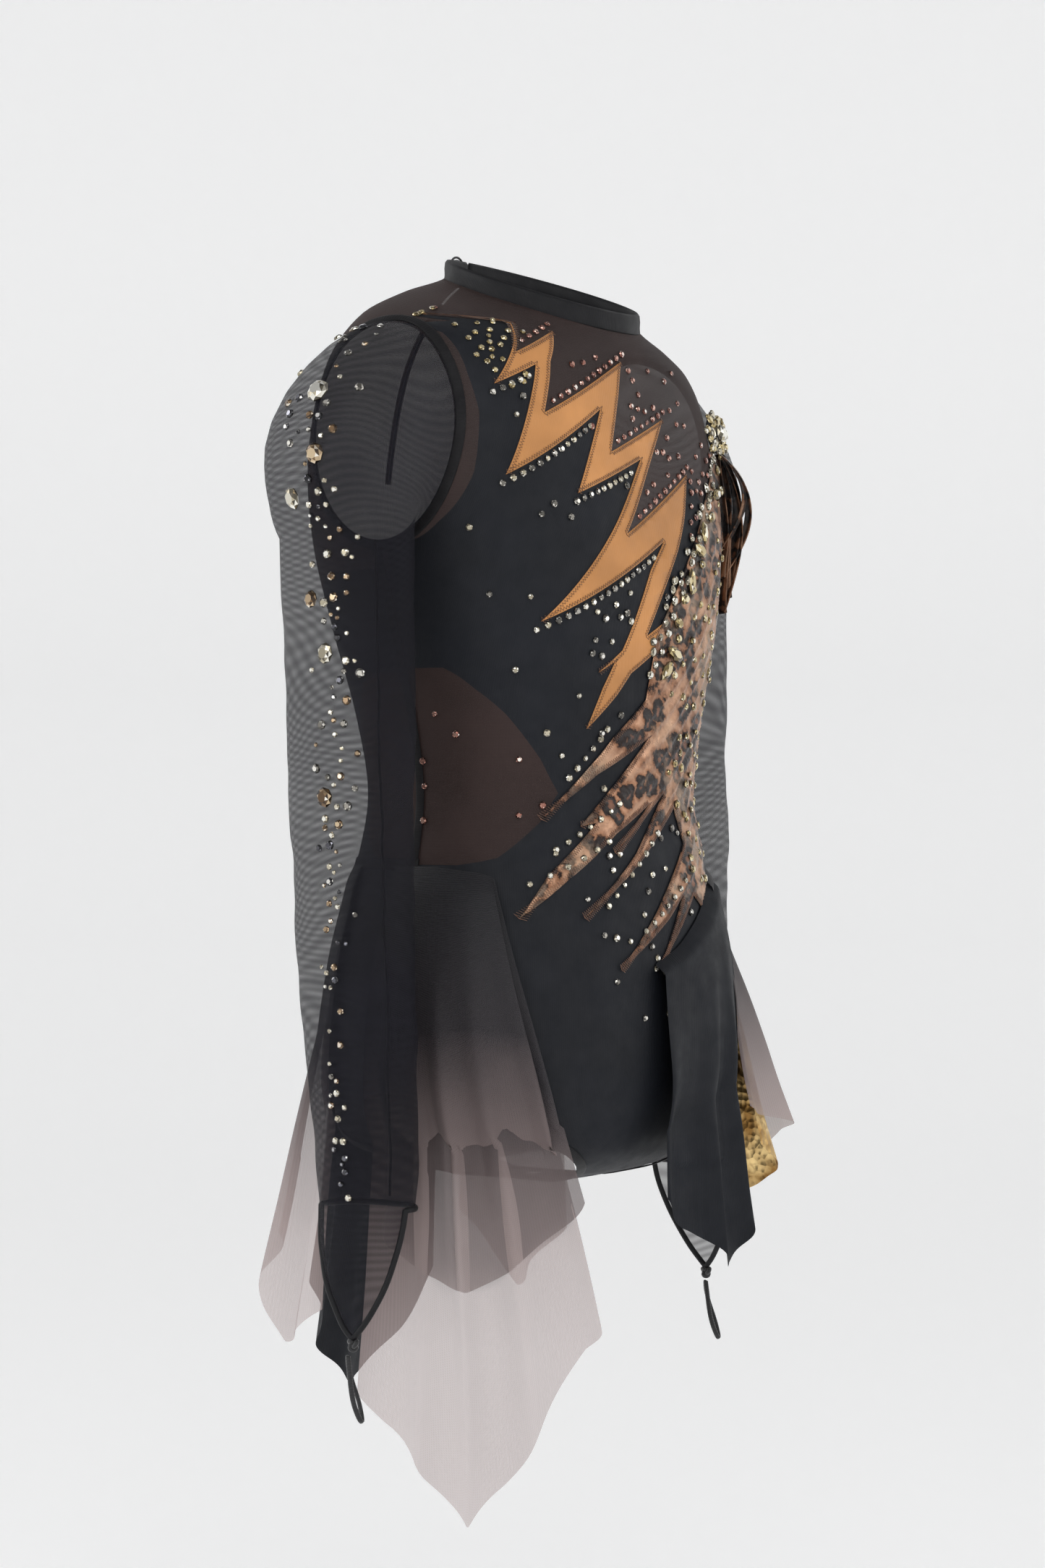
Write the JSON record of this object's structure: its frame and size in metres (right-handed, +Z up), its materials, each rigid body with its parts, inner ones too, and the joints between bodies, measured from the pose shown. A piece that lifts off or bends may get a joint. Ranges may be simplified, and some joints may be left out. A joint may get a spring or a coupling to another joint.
{
  "type": "cheer uniform",
  "caption": "Long-sleeved sheer and black competition leotard with a lightning applique, leopard foil claws, crystals, ombre handkerchief skirt panels and finger loops.",
  "frame": {"origin": "centre of the neck opening, in the neckline's tilted plane", "axes": "+Z up out of the neck; the wearer faces -Y, so the front of the bodice is at -Y; the wearer's right side is at -X"},
  "size_m": [0.3576, 0.2269, 0.6756],
  "materials": {
    "black_lycra": "matt stretch lycra",
    "yoke_mesh": "fine sheer stretch mesh, brownish black",
    "sleeve_mesh": "sheer black stretch mesh",
    "binding": "folded stretch binding",
    "elastic_loop": "thin black elastic",
    "button": "polished",
    "tan_applique": "tan lycra with zigzag stitched edges",
    "leopard_foil": "rose-gold foil on leopard-print stretch velvet, ruched",
    "ombre_mesh": "soft mesh dyed from black at the waist to pale pinkish grey at the hem",
    "gold_lame": "gold foil fabric",
    "crystal_gold": "cut flat-back stones, pale gold",
    "crystal_copper": "cut flat-back stones, copper rose",
    "crystal_smoke": "cut flat-back stones, smoky grey",
    "crystal_clear": "cut flat-back and sew-on stones, clear and gold"
  },
  "bodies": {
    "bodice": {"armhole_mesh_right": "yoke_mesh", "armhole_seam_left": "binding", "armhole_seam_right": "binding", "bodice_back_lycra": "black_lycra", "bodice_front_lycra": "black_lycra", "brooch_backing": "binding", "brooch_crystals": "crystal_gold", "crotch_gusset": "black_lycra", "leg_binding_left": "binding", "leg_binding_right": "binding", "leopard_applique": "leopard_foil", "lightning_applique": "tan_applique", "neck_button": "button", "neck_button_loop": "elastic_loop", "neckband": "binding", "side_insert_back_mesh": "yoke_mesh", "side_insert_front_mesh": "yoke_mesh", "side_seam_left": "binding", "side_seam_right": "binding", "skirt_seam": "binding", "sleeve_head_left": "sleeve_mesh", "sleeve_head_right": "sleeve_mesh", "stones_bodice": "crystal_smoke", "stones_leopard": "crystal_clear", "stones_shoulder": "crystal_gold", "stones_side_insert": "crystal_copper", "stones_yoke": "crystal_copper", "yoke_back_mesh": "yoke_mesh", "yoke_front_mesh": "yoke_mesh"},
    "sleeve_right": {"sleeve_right": "sleeve_mesh", "cuff_binding_right": "binding", "cuff_knot_right": "binding", "stones_sleeve_right": "crystal_clear"},
    "sleeve_left": {"sleeve_left": "sleeve_mesh", "cuff_binding_left": "binding", "cuff_knot_left": "binding"},
    "finger_loop_right": {"finger_loop_right": "elastic_loop"},
    "finger_loop_left": {"finger_loop_left": "elastic_loop"},
    "skirt_right": {"skirt_right_outer_mesh": "ombre_mesh", "skirt_right_inner_mesh": "ombre_mesh"},
    "skirt_back": {"skirt_back_right_mesh": "ombre_mesh", "skirt_back_lycra": "black_lycra", "skirt_back_left_mesh": "ombre_mesh"},
    "skirt_left": {"skirt_left_lycra": "black_lycra", "skirt_left_mesh": "ombre_mesh", "skirt_left_gold": "gold_lame"},
    "bust_loops": {"bust_ribbon_loops": "leopard_foil"}
  },
  "joints": [
    {"name": "sleeve_right_raise", "type": "hinge", "parent": "bodice", "child": "sleeve_right", "pos_m": [-0.134, 0.018, -0.092], "axis": [0, 1, 0], "range_deg": [0, 90]},
    {"name": "sleeve_left_raise", "type": "hinge", "parent": "bodice", "child": "sleeve_left", "pos_m": [0.134, 0.018, -0.092], "axis": [0, -1, 0], "range_deg": [0, 90]},
    {"name": "finger_loop_right_swing", "type": "hinge", "parent": "sleeve_right", "child": "finger_loop_right", "pos_m": [-0.1735, 0.002, -0.5555], "axis": [1, 0, 0], "range_deg": [-60, 60]},
    {"name": "finger_loop_left_swing", "type": "hinge", "parent": "sleeve_left", "child": "finger_loop_left", "pos_m": [0.1735, 0.002, -0.5555], "axis": [1, 0, 0], "range_deg": [-60, 60]},
    {"name": "skirt_right_swing", "type": "hinge", "parent": "bodice", "child": "skirt_right", "pos_m": [-0.1, -0.014, -0.316], "axis": [-1, 0, 0], "range_deg": [0, 40]},
    {"name": "skirt_back_swing", "type": "hinge", "parent": "bodice", "child": "skirt_back", "pos_m": [0, 0.082, -0.316], "axis": [1, 0, 0], "range_deg": [0, 35]},
    {"name": "skirt_left_swing", "type": "hinge", "parent": "bodice", "child": "skirt_left", "pos_m": [0.06, -0.055, -0.32], "axis": [-1, 0, 0], "range_deg": [0, 35]},
    {"name": "bust_loops_swing", "type": "hinge", "parent": "bodice", "child": "bust_loops", "pos_m": [0.106, -0.053, -0.078], "axis": [-1, 0, 0], "range_deg": [0, 50]}
  ]
}
